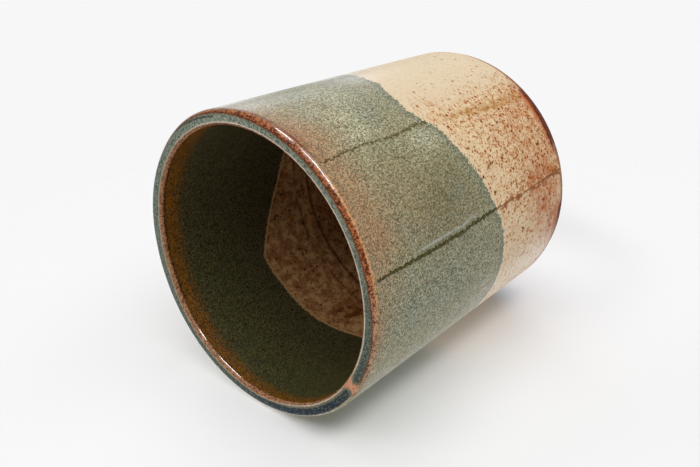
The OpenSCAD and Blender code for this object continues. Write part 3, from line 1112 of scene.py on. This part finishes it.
def rust_colour(glaze, tone, light):
    """Rust that goes from dark to pale with the tone, and to light tan where the lip is pink."""
    rust = glaze.blend(glaze.ramp(tone, 0.15, 0.85), RUST_DARK, RUST_PALE)
    return glaze.blend(glaze.times(glaze.marked("pink_side"), light), rust, TAN_LIGHT)


def green_lip(glaze):
    """Towards the lip: scorched places, a rust edge, an orange line on it and a burnt line below it."""
    grain, rust_side, orange_side = glaze.grain, glaze.marked("rust_side"), glaze.marked("orange_side")
    lip_edge = glaze.jitter(glaze.marked("lip_gap"), 0.5, 0.15)
    glaze.lay(glaze.blend(grain, TAN_DARK, SCORCH), glaze.marked("scorch"), glaze.spread(glaze.streak, 0.5))
    rust = rust_colour(glaze, glaze.blend_values(0.5, grain, glaze.blotch), glaze.ramp(grain, 0.2, 0.7))
    glaze.lay(rust, glaze.ramp(lip_edge, 0.8, 0.5), rust_side)
    not_pink = glaze.ramp(glaze.marked("pink_side"), 0.0, 0.8, 1.0, 0.3)
    grainy = glaze.ramp(grain, 0.0, 0.6, 0.2, 0.8)
    glaze.lay(ORANGE_LINE, glaze.stripe(lip_edge, 0.5, 0.4), orange_side, not_pink, grainy)
    burnt = glaze.times(glaze.stripe(lip_edge, 1.0, 0.5), rust_side, glaze.ramp(orange_side, 1.0, 0.3))
    glaze.lay(RUST_DARK, burnt, glaze.spread(glaze.blotch, 0.4, 0.9))


def green_outside():
    """The four steps of the green, from its body to the toothed lower edge, dark and then pale."""
    glaze = Glaze("green_outside")
    green_body(glaze)
    green_seams(glaze)
    green_lip(glaze)
    teeth = glaze.jitter(glaze.jitter(glaze.marked("line_gap"), 0.45, 0.8), 1.8, 0.9)
    glaze.lay(TEAL_EDGE, glaze.ramp(teeth, 1.8, 0.0, 0.0, 0.55))
    glaze.lay(CREAM_HALO, glaze.ramp(teeth, -0.2, -0.35))
    wet = glaze.times(glaze.ramp(glaze.marked("lip_gap"), 1.4, 0.7), glaze.marked("wet_side"))
    return glaze.finish((0.34, 0.46), 0.35, 0.12, wet, glaze.marked("glare"))


GREEN_OUTSIDE = green_outside()

# %% [markdown]
# ## Cream glaze outside
# Pale beige, with rust specks that thicken towards the foot and lie in rows along the line. A clear pale
# halo runs along the green, and just above the bare foot the glaze is so thin that it burns orange and dark.
# The specks are layers of different sizes and inks, because iron grains come in all sizes.

# %% Cream outside
CREAM_PALE = (0.63, 0.518, 0.36)
CREAM_WARM = (0.68, 0.54, 0.34)
CREAM_DIM = (0.47, 0.36, 0.225)
OCHRE = (0.41, 0.25, 0.085)
ROSE = (0.41, 0.165, 0.09)
SPECK_TAN = (0.46, 0.17, 0.035)
SPECK_RUST = (0.26, 0.065, 0.01)
SPECK_DARK = (0.07, 0.02, 0.005)
FOOT_GLOW = (0.38, 0.075, 0.008)
FOOT_DARK = (0.09, 0.02, 0.012)
CREAM_SPECKS = ((SPECK_TAN, 0.65, 1.0, 0.62, 0.8), (SPECK_RUST, 0.7, 0.55, 0.5, 0.8),
                (SPECK_TAN, 0.95, 0.85, 0.56, 0.8), (SPECK_RUST, 0.95, 0.85, 0.47, 1.0),
                (SPECK_RUST, 0.48, 0.75, 0.5, 0.6), (SPECK_RUST, 1.4, 0.6, 0.4, 0.9),
                (SPECK_DARK, 1.4, 0.65, 0.3, 1.0))
ROW_SQUEEZE = (1, 1, 6)


def cream_body(glaze, cloud):
    """Cream that dims in streaks, with rose clouds near the foot and an ochre smear down the first seam."""
    foot_gap = glaze.marked("foot_gap")
    glaze.colour = glaze.blend(glaze.marked("speck_side"), CREAM_PALE, CREAM_WARM)
    glaze.lay(CREAM_DIM, glaze.spread(glaze.streak, 0.25, 0.0))
    glaze.lay(ROSE, glaze.marked("rose"), glaze.spread(cloud, 0.5))
    smear = glaze.stripe(glaze.jitter(glaze.marked("seam_1"), 2.5, 0.5), 0.0, 1.7)
    smear = glaze.times(smear, glaze.ramp(foot_gap, 42, 28, 0.0, 0.95), glaze.ramp(foot_gap, 1.0, 6.0))
    glaze.lay(OCHRE, smear, glaze.spread(cloud, 0.4))


def cream_specks(glaze, cloud):
    """Specks of several sizes, whose share follows the fire and falls to none in the halo by the green."""
    halo = glaze.ramp(glaze.jitter(glaze.marked("line_gap"), 0.7, 0.2), -1.3, -0.7)
    glaze.lay(CREAM_HALO, halo)
    level = glaze.add("Mapping", {"Vector": glaze.place, "Scale": ROW_SQUEEZE}).outputs[0]
    rows = glaze.ramp(glaze.noise(2.4, 2.0, place=level), 0.52, 0.60)
    glaze.lay(SPECK_TAN, rows, glaze.marked("dashes"), 0.75)
    share = glaze.times(glaze.spread(cloud, 0.6), glaze.marked("speck_side"), glaze.spread(rows, 0.8, 1.1),
                        glaze.ramp(glaze.marked("foot_gap"), 44, 10, 0.42, 1.3),
                        glaze.maths("SUBTRACT", 1.0, halo))
    glaze.lay(SPECK_TAN, cloud, share, 0.24)
    for ink, cell, part, size, strength in CREAM_SPECKS:
        glaze.speckle(ink, cell, glaze.times(share, part), size, strength)


def cream_outside():
    """The cream, its specks, the rust that ran off the second seam, and the burnt edge above the foot."""
    glaze = Glaze("cream_outside")
    cloud = glaze.ramp(glaze.noise(2.0), 0.35, 0.65)
    cream_body(glaze, cloud)
    cream_specks(glaze, cloud)
    run_off = glaze.stripe(glaze.jitter(glaze.marked("seam_2"), 1.0, 0.5), 0.0, 1.8)
    glaze.lay(SPECK_RUST, run_off, glaze.ramp(cloud, 0.2, 1.0), 0.9)
    foot_edge, glow_side = glaze.jitter(glaze.marked("foot_gap"), 2, 0.6), glaze.marked("glow_side")
    glaze.lay(FOOT_GLOW, glaze.ramp(foot_edge, 4.2, 0.8), glow_side, glaze.spread(cloud, 0.7))
    glaze.lay(FOOT_DARK, glaze.ramp(foot_edge, 1.7, 0.8), glaze.ramp(glow_side, 0.1, 0.8))
    return glaze.finish((0.36, 0.48), 0.3, 0.03, glare=glaze.marked("glare"))


CREAM_OUTSIDE = cream_outside()

# %% [markdown]
# ## Inside glazes
# The same glazes look darker inside: olive brown, amber under the lip, and a tan cream with dark specks.
# Part of that darkness is painted shade, since little light gets into the cup, and the hues differ too, so
# the inside has inks of its own.

# %% Inside materials
# The inside inks are darker than the outside ones, partly as painted shade.
OLIVE_DEEP = (0.008, 0.007, 0.002)
OLIVE_PALE = (0.118, 0.109, 0.034)
BROWN_DEEP = (0.006, 0.004, 0.001)
BROWN_PALE = (0.106, 0.082, 0.035)
AMBER_DARK = (0.045, 0.014, 0.001)
AMBER_PALE = (0.29, 0.11, 0.01)
MAROON_DARK = (0.085, 0.026, 0.013)
MAROON_PALE = (0.52, 0.265, 0.13)
EDGE_DARK = (0.028, 0.008, 0.003)
TAN_CREAM = (0.50, 0.29, 0.125)
TAN_DEEP = (0.14, 0.045, 0.012)
TAN_LINE = (0.46, 0.27, 0.11)


def green_inside():
    """Dark olive grain that turns brown towards the floor and on one side, partly as painted shade, with a
    streaky amber band under the lip.
    """
    glaze = Glaze("green_inside")
    grain, lip_gap, maroon_reach = glaze.grain, glaze.marked("lip_gap"), glaze.marked("maroon_reach")
    # Brown towards the floor and on the side that faces away from the light: partly painted shade.
    deep = glaze.maths("MAXIMUM", glaze.ramp(lip_gap, 8, 32), glaze.marked("inner_shade_side"))
    glaze.colour = glaze.blend(grain, OLIVE_DEEP, OLIVE_PALE)
    glaze.lay(glaze.blend(grain, BROWN_DEEP, BROWN_PALE), deep)
    glaze.lay(TEAL_DEEP, glaze.ramp(glaze.blotch, 0.6, 0.0, 0.0, 0.4))
    reach = glaze.maths("DIVIDE", glaze.jitter(lip_gap, 2.0, 0.6), glaze.marked("amber_reach"))
    amber = glaze.blend(grain, AMBER_DARK, AMBER_PALE)
    glaze.lay(amber, glaze.ramp(reach, 1.3, 0.4), glaze.spread(glaze.blotch, 0.55))
    edge = glaze.jitter(lip_gap, 0.8, 0.25)
    glaze.lay(EDGE_DARK, glaze.ramp(edge, 1.8, 0.9), glaze.ramp(maroon_reach, 0.3, 0.8, 0.0, 0.7))
    beyond = glaze.maths("SUBTRACT", edge, maroon_reach)
    glaze.lay(glaze.blend(grain, MAROON_DARK, MAROON_PALE), glaze.ramp(beyond, 0.15, -0.1))
    glaze.lay(TAN_LINE, glaze.ramp(glaze.jitter(glaze.marked("line_gap"), 0.5, 0.6), -0.2, -0.35))
    wet = glaze.times(glaze.ramp(lip_gap, 0.9, 0.5), glaze.marked("wet_side"))
    return glaze.finish((0.38, 0.52), 0.35, 0.1, wet)


def cream_inside():
    """Tan cream with dark specks, stained in places, and the throwing rings as dotted dark lines."""
    glaze = Glaze("cream_inside")
    gap, stain = glaze.marked("ring_gap"), glaze.marked("stain")
    cloud = glaze.ramp(glaze.noise(2.5), 0.35, 0.65)
    stained = glaze.times(stain, glaze.spread(cloud, 0.5))
    glaze.colour = glaze.blend(glaze.maths("MAXIMUM", glaze.times(cloud, 0.7), stained), TAN_CREAM, TAN_DEEP)
    glaze.lay(TAN_LINE, glaze.ramp(glaze.marked("line_gap"), -1.4, -0.8))
    share = glaze.maths("ADD", glaze.times(cloud, 0.4), glaze.times(stain, 0.5))
    glaze.speckle(SPECK_RUST, 0.8, glaze.maths("ADD", share, 0.3), 0.62, 0.9)
    glaze.speckle(SPECK_DARK, 1.0, share, 0.52, 1.0)
    ring = glaze.times(glaze.stripe(gap, 0.0, 1.0), glaze.ramp(glaze.grain, 0.1, 0.6, 0.3, 0.9))
    faint = glaze.times(glaze.stripe(gap, FAINT_RING, 0.7), glaze.grain, 0.8)
    glaze.lay(SPECK_DARK, glaze.maths("MAXIMUM", ring, faint))
    return glaze.finish((0.4, 0.55), 0.3, 0.1)


GREEN_INSIDE = green_inside()
CREAM_INSIDE = cream_inside()

# %% [markdown]
# ## The lip
# The bead on the lip is the thickest glaze of all, so it is blue-green and glossy. Towards the wall outside
# it thins to rust, and towards the inside to brown with a pale line. At one place it has crawled back and
# left the clay nearly bare. The place across the bead, from 0 outside to 1 inside, is the ruler for these.

# %% Lip material
LIP_TEAL = (0.022, 0.036, 0.029)
LIP_GREY = (0.35, 0.385, 0.29)
LIP_SHADE = (0.018, 0.036, 0.025)
LIP_GREEN = (0.22, 0.185, 0.105)
LIP_CREAM_REFLECTION = (0.55, 0.45, 0.30)
LIP_NAVY = (0.003, 0.009, 0.011)
LIP_BLUE = (0.014, 0.032, 0.05)
LIP_LINE = (0.58, 0.47, 0.37)
RUST_EDGE = (0.07, 0.014, 0.006)
BREAK_PINK = (0.52, 0.26, 0.15)


def lip_bead(glaze, tone, across):
    """Grey-teal that turns navy round the cup, darker towards the side that faces the table as painted
    shade, thin and green at both sides, with one dark crease and a pale outer line.
    """
    blue_side = glaze.marked("blue_side")
    glaze.colour = glaze.blend(tone, LIP_TEAL, LIP_GREY)
    # Painted shade on the lip, darkest on the side that faces the table.
    glaze.lay(LIP_SHADE, glaze.marked("lip_shade_side"))
    glaze.lay(glaze.blend(tone, LIP_NAVY, LIP_BLUE), glaze.ramp(blue_side, 0.1, 0.9))
    glaze.speckle(LIP_GREY, 0.5, 0.6, 0.45, 0.55)
    thin = glaze.ramp(glaze.away(across, 0.42), 0.19, 0.34)
    glaze.lay(LIP_GREEN, thin, glaze.ramp(blue_side, 0.15, 0.6, 0.0, 0.65))
    # A pale line along the outer edge, strongest on the side that faces the table: partly pale glaze and
    # partly a painted reflection of the table.
    glaze.lay(LIP_CREAM_REFLECTION, glaze.stripe(across, 0.03, 0.1), glaze.ramp(blue_side, 0.2, 0.8, 0.0, 0.8))
    glaze.lay(LIP_TEAL, glaze.stripe(across, glaze.marked("crease"), 0.09), 0.9)


def lip_edges(glaze, tone, across):
    """Rust as far in from the outer edge as the fire reached, and brown with a pale line at the inner."""
    rust_side, inner_side = glaze.marked("rust_side"), glaze.marked("inner_side")
    beyond = glaze.maths("SUBTRACT", across, glaze.spread(rust_side, -0.03, 0.3))
    glaze.lay(TAN_DARK, glaze.ramp(beyond, 0.2, 0.0), rust_side, 0.75)
    rust = rust_colour(glaze, tone, glaze.ramp(tone, 0.1, 0.7))
    rust = glaze.blend(glaze.ramp(beyond, -0.12, -0.02, 0.0, 0.85), rust, RUST_EDGE)
    glaze.lay(rust, glaze.ramp(beyond, 0.03, -0.03))
    inner = glaze.maths("SUBTRACT", across, glaze.marked("inner_start"))
    maroon = glaze.blend(glaze.times(tone, glaze.spread(inner_side, 0.3)), MAROON_DARK, MAROON_PALE)
    thin = glaze.times(glaze.ramp(inner_side, 0.3, 0.0), glaze.ramp(glaze.marked("blue_side"), 0.1, 0.4))
    glaze.lay(glaze.blend(thin, maroon, LIP_GREEN), glaze.ramp(inner, 0.0, 0.05))
    glaze.lay(LIP_LINE, glaze.stripe(inner, 0.0, 0.06), glaze.spread(inner_side, 1.0, 0.4))


def lip_band():
    """The bead, its two edges, and the bare break in it, which is narrow on top and wide at both sides."""
    glaze = Glaze("lip_band")
    tone = glaze.blend_values(0.4, glaze.grain, glaze.blotch)
    across = glaze.jitter(glaze.marked("across"), 0.7, 0.05)
    lip_bead(glaze, tone, across)
    lip_edges(glaze, tone, across)
    waist = glaze.ramp(glaze.away(across, 0.45), 0.05, 0.55, 1.0, 2.2)
    bare = glaze.away(glaze.jitter(glaze.marked("break_gap"), 1.2, 0.8), 0.0)
    bare = glaze.maths("DIVIDE", bare, waist)
    glaze.lay(LIP_GREEN, glaze.ramp(bare, 3.6, 2.4, 0.0, 0.55))
    glaze.lay(glaze.blend(glaze.ramp(tone, 0.0, 0.6), RUST_PALE, BREAK_PINK), glaze.ramp(bare, 2.2, 1.4))
    return glaze.finish((0.14, 0.24), 0.2, 0.1)


LIP_BAND = lip_band()

# %% [markdown]
# ## The seams and the clay
# The crests of the seams are olive among the green and rust among the cream, because the glaze over them is
# thin and takes its colour from the iron below. The bare clay is matt, dark and full of iron. Both are short
# recipes from the same helpers.

# %% Seam and clay materials
OLIVE_LINE = (0.046, 0.04, 0.008)
SEAM_RUST = (0.2, 0.07, 0.016)
SEAM_BROWN = (0.10, 0.04, 0.014)
CLAY_DARK = (0.09, 0.026, 0.017)
CLAY_BODY = (0.18, 0.06, 0.04)
CLAY_PALE = (0.36, 0.2, 0.11)


def seam_crest():
    """Rust below the dip line. Above it the second seam is olive, and the first is ashen, with brown at the
    lip."""
    glaze = Glaze("seam_crest")
    green, first = glaze.ramp(glaze.marked("line_gap"), -0.6, 0.6), glaze.marked("first")
    glaze.colour = glaze.blend(first, OLIVE_LINE, ASH_LINE)
    glaze.lay(SEAM_BROWN, first, glaze.ramp(glaze.marked("lip_gap"), 9, 2))
    glaze.colour = glaze.blend(green, SEAM_RUST, glaze.colour)
    glaze.lay(glaze.blend(green, CREAM_WARM, GREEN_PALE), glaze.ramp(glaze.grain, 0.6, 1.0, 0.0, 0.25))
    return glaze.finish((0.4, 0.5), 0.3, 0.05)


def bare_clay():
    """Dark purple-brown clay with grog, paler where the fire was weak: coarse grain, specks and no gloss."""
    glaze = Glaze("bare_clay")
    glaze.colour = glaze.blend(glaze.grain, CLAY_DARK, CLAY_BODY)
    glaze.lay(CLAY_PALE, glaze.ramp(glaze.jitter(glaze.marked("clay_side"), 4, 0.25), 0.65, 0.1))
    glaze.speckle(SPECK_DARK, 1.1, 0.4, 0.4)
    return glaze.finish((0.75, 0.9), 0.6, 0.05)


SEAM_CREST = seam_crest()
BARE_CLAY = bare_clay()

# %% [markdown]
# ## Dressing the pieces
# Each skin takes its material, rides on the cup's one body, and hides the solid that it stands for.

# %% Dress
for piece, node, slot, material in (
        (outer_green, "outer_green_glaze", "green_glaze", GREEN_OUTSIDE),
        (outer_cream, "outer_cream_glaze", "cream_glaze", CREAM_OUTSIDE),
        (inner_green, "inner_green_glaze", "inner_green_glaze", GREEN_INSIDE),
        (inner_cream, "inner_cream_glaze", "cream_glaze", CREAM_INSIDE),
        (floor, "floor_glaze", "cream_glaze", CREAM_INSIDE),
        (lip, "lip_glaze", "lip_glaze", LIP_BAND),
        (crests, "seam_ridges", "seam", SEAM_CREST),
        (clay_wall, "clay_wall", "clay", BARE_CLAY),
        (clay_base, "clay_base", "clay", BARE_CLAY)):
    piece.name = "fired_" + node
    piece.data.materials.append(material)
    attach(piece, "root")
    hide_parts(node)
print("dressed", len(frame["nodes"]), "nodes")

# %% [markdown]
# ## Light
# The picture was taken in a white tent: light comes from all sides, most of it from a large soft panel above
# the table. The world is the tent, brighter behind the cup and below it, where the white table throws light
# back. Three area lights are the ceiling, a window, and a tube that shows only in reflections, as the bright
# stroke on the lip. The camera sees the tent brighter than it shines, which keeps the background white
# without flattening the cup.

# %% Light
TENT_SEEN = (0.93, 0.93, 0.94)
TENT_SHINE = (0.50, 0.50, 0.505)
BACK_SHINE = (1.5, 1.5, 1.53)
TABLE_SHINE = (1.0, 1.0, 1.0)
BACK_REACH = (0.86, 0.98)
TABLE_REACH = (0.1, -0.3)
PANEL_AWAY = 1.1
PANELS = (("ceiling", (0.965, -0.1, -0.05), (1.3, 1.3), 9.0, True),
          ("tube", (0.984, 0.064, 0.155), (1.09, 0.1), 14.0, False),
          ("window", (0.74, 0.15, 0.656), (0.8, 0.14), 3.2, True))
PANEL_ALONG = Vector((-0.05, 0.978, -0.2))
table_up = (side(TABLE_UP_AZ) * np.cos(LEAN) + Vector((0, 0, np.sin(LEAN)))).normalized()
glance = ahead.reflect(table_up)

world = bpy.data.worlds.new("tent")
bpy.context.scene.world = world
world.use_nodes = True
tent = Masks(world.node_tree)
heading = tent.add("TexCoord").outputs["Generated"]
behind = tent.ramp(tent.vectors("DOT_PRODUCT", heading, glance), *BACK_REACH)
below = tent.ramp(tent.vectors("DOT_PRODUCT", heading, table_up), *TABLE_REACH)
shine = tent.blend(below, tent.blend(behind, TENT_SHINE, BACK_SHINE), TABLE_SHINE)
seen = tent.add("LightPath").outputs["Is Camera Ray"]
tent.link(tent.blend(seen, shine, TENT_SEEN), tent.find("BACKGROUND").inputs["Color"])

cup_middle = Vector((0, 0, CUP_H / 2))
for name, towards, (length, width), power, lights_all in PANELS:
    light = bpy.data.lights.new(name, "AREA")
    light.shape = "RECTANGLE"
    light.size = length
    light.size_y = width
    light.energy = power
    panel = bpy.data.objects.new(name, light)
    bpy.context.scene.collection.objects.link(panel)
    panel.visible_diffuse = lights_all
    back = Vector(towards).normalized()
    across = back.cross(PANEL_ALONG).normalized()
    turn = Matrix((across.cross(back), across, back)).transposed().to_quaternion()
    panel.matrix_world = Matrix.LocRotScale(cup_middle + back * PANEL_AWAY, turn, None)
bpy.context.scene.view_settings.view_transform = "Standard"
print("panels:", ", ".join(panel[0] for panel in PANELS))

# %% [markdown]
# ## The table
# The table is a white sheet, and the cup's shadow on it is what makes the cup lie on something. A plain
# white plane would go grey in the distance and show its edges. So this one glows a little of itself, clears
# away with distance and shows from above only. Painted pools of more or less glow follow the light round the
# cup, and a painted patch of shade lies beside the wall, where the cup keeps the light of the tent out.

# %% Table
TABLE_HALF = 1.5
TABLE_FADE = (0.06, 0.22)
TABLE_WHITE = (0.687, 0.687, 0.69)
# Colour of the painted shade beside the wall, a little cool.
TABLE_SHADE = (0.52, 0.555, 0.58)
TABLE_GLOW = 0.125
TABLE_BELOW = 0.2 * MM
# Painted pools of light in the table's glow: two offsets from where the cup touches, a reach, and the glow
# they add or take.
PAINTED_LIGHT_POOLS = ((50, -5, 60, 0.15), (-68, 16, 32, 0.14), (4, 40, 36, 0.075), (-30, 95, 75, -0.05))
SHADE_ENDS = ((-54, -40), (50, 36))
SHADE_SIDES = ((29, 18), (0, 13))

touch = side(TABLE_UP_AZ + 180) * wall_r(-TABLE_BELOW, CUP_H / 2) + cup_middle
along = table_up.cross(Vector((0, 0, 1))).normalized()
upward = along.cross(table_up)
corners = [touch + (along * a + upward * b) * TABLE_HALF for a, b in ((-1, -1), (1, -1), (1, 1), (-1, 1))]
table = mesh_piece("table", np.array(corners), [[0, 1, 2, 3]])
if table.data.polygons[0].normal.dot(table_up) < 0:
    table.data.flip_normals()
for ray in ("diffuse", "glossy", "transmission", "volume_scatter", "shadow"):
    setattr(table, "visible_" + ray, False)
print("table touches the cup at azimuth", TABLE_UP_AZ + 180)

# %% [markdown]
# ## What the table is made of
# A diffuse white takes the cup's shadow, and an emission adds the glow. Both are mixed with a transparent
# shader, which takes over with distance and on the lower side. This is easier to steer than a larger sheet
# under stronger lamps, because the cup's own light stays as it is.

# %% Table material
table_material = bpy.data.materials.new("table_white")
table_material.use_nodes = True
sheet = Masks(table_material.node_tree)
sheet.tree.nodes.remove(sheet.find("BSDF_PRINCIPLED"))
sheet.place = sheet.add("TexCoord").outputs["Object"]
from_touch = sheet.vectors("SUBTRACT", sheet.place, touch)
up_axis = sheet.vectors("DOT_PRODUCT", from_touch, upward)
aside = sheet.vectors("DOT_PRODUCT", from_touch, along)
# Painted shade: a patch beside the wall where the diffuse white turns darker and the glow is taken away.
shade = sheet.times(*(sheet.ramp(aside, start * MM, end * MM) for start, end in SHADE_SIDES),
                    *(sheet.ramp(up_axis, start * MM, end * MM) for start, end in SHADE_ENDS))
strength = TABLE_GLOW
for up, out, reach, more in PAINTED_LIGHT_POOLS:
    near = sheet.vectors("DISTANCE", sheet.place, touch + (upward * up + along * out) * MM)
    strength = sheet.maths("ADD", strength, sheet.ramp(near, reach * MM, 0.0, 0.0, more))
white = sheet.add("BsdfDiffuse", {"Color": sheet.blend(shade, TABLE_WHITE, TABLE_SHADE)}).outputs[0]
glow = sheet.add("Emission", {"Strength": sheet.times(strength, sheet.spread(shade, 1.0, 0.0))}).outputs[0]
lit = sheet.add("AddShader", {0: white, 1: glow}).outputs[0]
fade = sheet.ramp(sheet.vectors("DISTANCE", sheet.place, touch), *TABLE_FADE, 1.0, 0.0)
upper = sheet.maths("SUBTRACT", 1.0, sheet.add("NewGeometry").outputs["Backfacing"])
clear = sheet.add("BsdfTransparent").outputs[0]
mixed = sheet.add("MixShader", {0: sheet.times(fade, upper), 1: clear, 2: lit}).outputs[0]
sheet.link(mixed, sheet.find("OUTPUT_MATERIAL").inputs["Surface"])
table.data.materials.append(table_material)
print("table material with", len(sheet.tree.nodes), "nodes")

# %% [markdown] ## Sizes The dressed cup should be as large as its solids.
